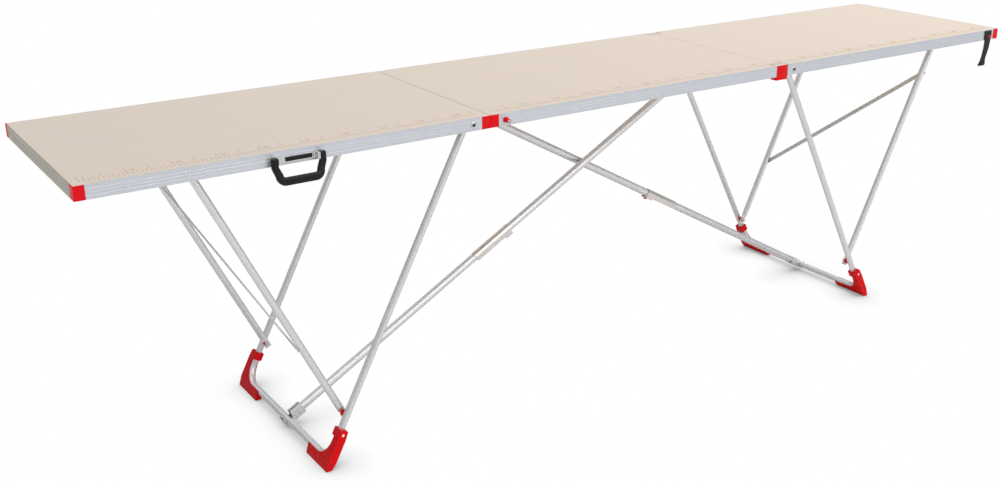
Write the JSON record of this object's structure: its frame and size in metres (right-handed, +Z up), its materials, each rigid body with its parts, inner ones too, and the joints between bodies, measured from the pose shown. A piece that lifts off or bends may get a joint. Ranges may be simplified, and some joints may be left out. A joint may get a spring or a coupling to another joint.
{
  "type": "folding pasting table",
  "caption": "Long narrow folding table with a flat board top in metal rails, splayed tube legs with struts, crossed braces, a carrying handle and a closing strap.",
  "frame": {"origin": "on the floor, below the middle of the table", "axes": "+Z up, +X along the table to its right end, +Y from front to rear"},
  "size_m": [2.9992, 0.6188, 0.845],
  "materials": {
    "board_faced": "sealed board, matt",
    "red_plastic": "moulded, satin",
    "aluminium_rail": "extruded, anodised satin",
    "tube_metal": "satin silver tube",
    "foot_plastic": "moulded",
    "flat_bar": "zinc plated, dull",
    "black_plastic": "moulded",
    "black_rubber": "moulded",
    "zinc_steel": "zinc plated"
  },
  "bodies": {
    "strap": {"closure_strap": "black_rubber"},
    "middle_panel": {"closure_stud": "red_plastic", "mid_board": "board_faced", "mid_front_hinge_leaf": "zinc_steel", "mid_front_left_cap": "red_plastic", "mid_front_rail": "aluminium_rail", "mid_left_end_rail": "aluminium_rail", "mid_rear_hinge_leaf": "zinc_steel", "mid_rear_left_cap": "red_plastic", "mid_rear_rail": "aluminium_rail", "mid_right_end_rail": "aluminium_rail"},
    "hinge_link": {"front_link_block": "red_plastic", "rear_link_block": "red_plastic"},
    "handle": {"handle_grip": "black_plastic"},
    "left_panel": {"handle_plate": "black_plastic", "left_board": "board_faced", "left_front_hinge_leaf": "zinc_steel", "left_front_left_cap": "red_plastic", "left_front_rail": "aluminium_rail", "left_front_right_cap": "red_plastic", "left_left_end_rail": "aluminium_rail", "left_rear_hinge_leaf": "zinc_steel", "left_rear_left_cap": "red_plastic", "left_rear_rail": "aluminium_rail", "left_rear_right_cap": "red_plastic", "left_right_end_rail": "aluminium_rail", "left_strut_carrier": "aluminium_rail"},
    "left_brace_lower": {"left_brace_lower_tube": "tube_metal", "left_brace_sleeve": "zinc_steel"},
    "left_brace_upper": {"left_brace_upper_tube": "tube_metal"},
    "left_strut_frame": {"left_diagonal_bar": "flat_bar", "left_front_strut": "tube_metal", "left_rear_strut": "tube_metal"},
    "left_leg": {"left_front_foot": "foot_plastic", "left_front_strut_pin": "red_plastic", "left_leg_tube": "tube_metal", "left_rear_foot": "foot_plastic", "left_rear_strut_pin": "red_plastic"},
    "left_strut_rod": {"left_strut_rod": "zinc_steel"},
    "right_panel": {"right_board": "board_faced", "right_front_rail": "aluminium_rail", "right_front_right_cap": "red_plastic", "right_left_end_rail": "aluminium_rail", "right_rear_rail": "aluminium_rail", "right_rear_right_cap": "red_plastic", "right_right_end_rail": "aluminium_rail", "right_strut_carrier": "aluminium_rail"},
    "right_brace_lower": {"right_brace_lower_tube": "tube_metal", "right_brace_sleeve": "zinc_steel"},
    "right_brace_upper": {"right_brace_upper_tube": "tube_metal"},
    "right_strut_frame": {"right_diagonal_bar": "flat_bar", "right_front_strut": "tube_metal", "right_rear_strut": "tube_metal"},
    "right_leg": {"right_front_foot": "foot_plastic", "right_front_strut_pin": "red_plastic", "right_leg_tube": "tube_metal", "right_rear_foot": "foot_plastic", "right_rear_strut_pin": "red_plastic"},
    "right_strut_rod": {"right_strut_rod": "zinc_steel"}
  },
  "joints": [
    {"name": "left_panel_fold", "type": "hinge", "parent": "middle_panel", "child": "left_panel", "pos_m": [-0.5, 0.0094, 0.8089], "axis": [0, -1, 0], "range_deg": [0, 180]},
    {"name": "link_fold", "type": "hinge", "parent": "middle_panel", "child": "hinge_link", "pos_m": [0.485, 0.0094, 0.8069], "axis": [0, 1, 0], "range_deg": [0, 90]},
    {"name": "right_panel_fold", "type": "hinge", "parent": "hinge_link", "child": "right_panel", "pos_m": [0.515, 0.0094, 0.8069], "axis": [0, 1, 0], "range_deg": [0, 90]},
    {"name": "left_leg_fold", "type": "hinge", "parent": "left_panel", "child": "left_leg", "pos_m": [-0.5485, 0.0094, 0.8275], "axis": [0, 1, 0], "range_deg": [0, 62.24]},
    {"name": "left_strut_slide", "type": "slide", "parent": "left_panel", "child": "left_strut_rod", "axis": [-1, 0, 0], "range_m": [0, 0.0615]},
    {"name": "left_strut_fold", "type": "hinge", "parent": "left_strut_rod", "child": "left_strut_frame", "pos_m": [-1.249, 0.0094, 0.8287], "axis": [0, -1, 0], "range_deg": [0, 64.63]},
    {"name": "left_brace_swing", "type": "hinge", "parent": "middle_panel", "child": "left_brace_upper", "pos_m": [0.47, 0.0094, 0.8287], "axis": [0, 1, 0], "range_deg": [0, 29.23]},
    {"name": "left_brace_knuckle", "type": "hinge", "parent": "left_brace_upper", "child": "left_brace_lower", "pos_m": [-0.272, -0.0036, 0.39889], "axis": [0, -1, 0], "range_deg": [0, 180]},
    {"name": "right_leg_fold", "type": "hinge", "parent": "right_panel", "child": "right_leg", "pos_m": [0.5485, 0.0094, 0.8275], "axis": [0, -1, 0], "range_deg": [0, 62.24]},
    {"name": "right_strut_slide", "type": "slide", "parent": "right_panel", "child": "right_strut_rod", "axis": [1, 0, 0], "range_m": [0, 0.0615]},
    {"name": "right_strut_fold", "type": "hinge", "parent": "right_strut_rod", "child": "right_strut_frame", "pos_m": [1.249, 0.0094, 0.8287], "axis": [0, 1, 0], "range_deg": [0, 64.63]},
    {"name": "right_brace_swing", "type": "hinge", "parent": "middle_panel", "child": "right_brace_upper", "pos_m": [-0.47, 0.0094, 0.8287], "axis": [0, -1, 0], "range_deg": [0, 29.23]},
    {"name": "right_brace_knuckle", "type": "hinge", "parent": "right_brace_upper", "child": "right_brace_lower", "pos_m": [0.272, 0.0224, 0.39889], "axis": [0, 1, 0], "range_deg": [0, 180]},
    {"name": "handle_swing", "type": "hinge", "parent": "left_panel", "child": "handle", "pos_m": [-1.0135, -0.3029, 0.8255], "axis": [-1, 0, 0], "range_deg": [0, 90]},
    {"name": "strap_swing", "type": "hinge", "parent": "right_panel", "child": "strap", "pos_m": [1.4475, -0.2909, 0.8245], "axis": [0, 1, 0], "range_deg": [-90, 90]}
  ],
  "couplings": [
    {"joint": "left_panel_fold", "follows": "left_leg_fold", "ratio": 1.4459},
    {"joint": "link_fold", "follows": "right_leg_fold", "ratio": 0.72297},
    {"joint": "right_panel_fold", "follows": "right_leg_fold", "ratio": 0.72297},
    {"joint": "left_strut_slide", "follows": "left_leg_fold", "m_per_rad": 0.056152},
    {"joint": "left_strut_fold", "follows": "left_leg_fold", "ratio": 1.0384},
    {"joint": "left_brace_swing", "follows": "left_leg_fold", "ratio": 0.46966},
    {"joint": "left_brace_knuckle", "follows": "left_leg_fold", "ratio": 2.8919},
    {"joint": "right_strut_slide", "follows": "right_leg_fold", "m_per_rad": 0.056152},
    {"joint": "right_strut_fold", "follows": "right_leg_fold", "ratio": 1.0384},
    {"joint": "right_brace_swing", "follows": "right_leg_fold", "ratio": 0.46966},
    {"joint": "right_brace_knuckle", "follows": "right_leg_fold", "ratio": 2.8919}
  ]
}
